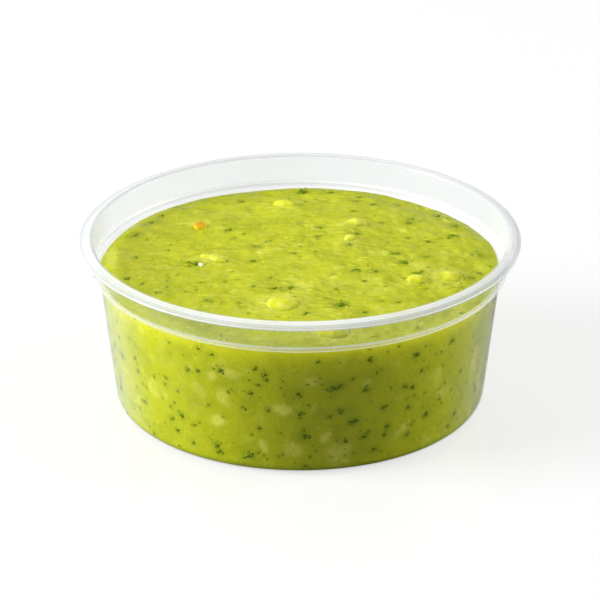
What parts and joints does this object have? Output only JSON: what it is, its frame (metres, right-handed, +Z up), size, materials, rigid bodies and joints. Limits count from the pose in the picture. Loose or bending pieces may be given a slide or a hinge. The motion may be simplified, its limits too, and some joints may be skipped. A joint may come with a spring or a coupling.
{
  "type": "guacamole in a clear plastic tub",
  "caption": "Chunky green guacamole filling a round clear plastic tub with a flanged lip, open at the top, with bits of avocado, tomato, onion and coriander leaf.",
  "frame": {"origin": "centre of the tub's flat base, on the surface it stands on", "axes": "+Z up along the tub's axis of turning, which is its shortest extent; -Y is the front, +X is to the right"},
  "size_m": [0.117, 0.117, 0.0468],
  "materials": {
    "clear_plastic": "thin clear polypropylene, slightly hazy, glossy",
    "guacamole": "moist mashed avocado, yellow-green, softly glossy and uneven",
    "avocado_flesh": "pale yellow-green avocado pieces, moist",
    "tomato": "orange-red tomato skin and flesh, moist",
    "onion": "white onion, moist and slightly see-through"
  },
  "bodies": {
    "root": {"tub": "clear_plastic", "guacamole": "guacamole", "avocado_chunk_front": "avocado_flesh", "avocado_chunk_rim": "avocado_flesh", "avocado_chunk_right": "avocado_flesh", "avocado_chunk_square": "avocado_flesh", "avocado_chunk_back": "avocado_flesh", "avocado_chunk_middle": "avocado_flesh", "avocado_chunk_far": "avocado_flesh", "avocado_chunk_left": "avocado_flesh", "tomato_piece": "tomato", "onion_piece": "onion"}
  },
  "joints": []
}
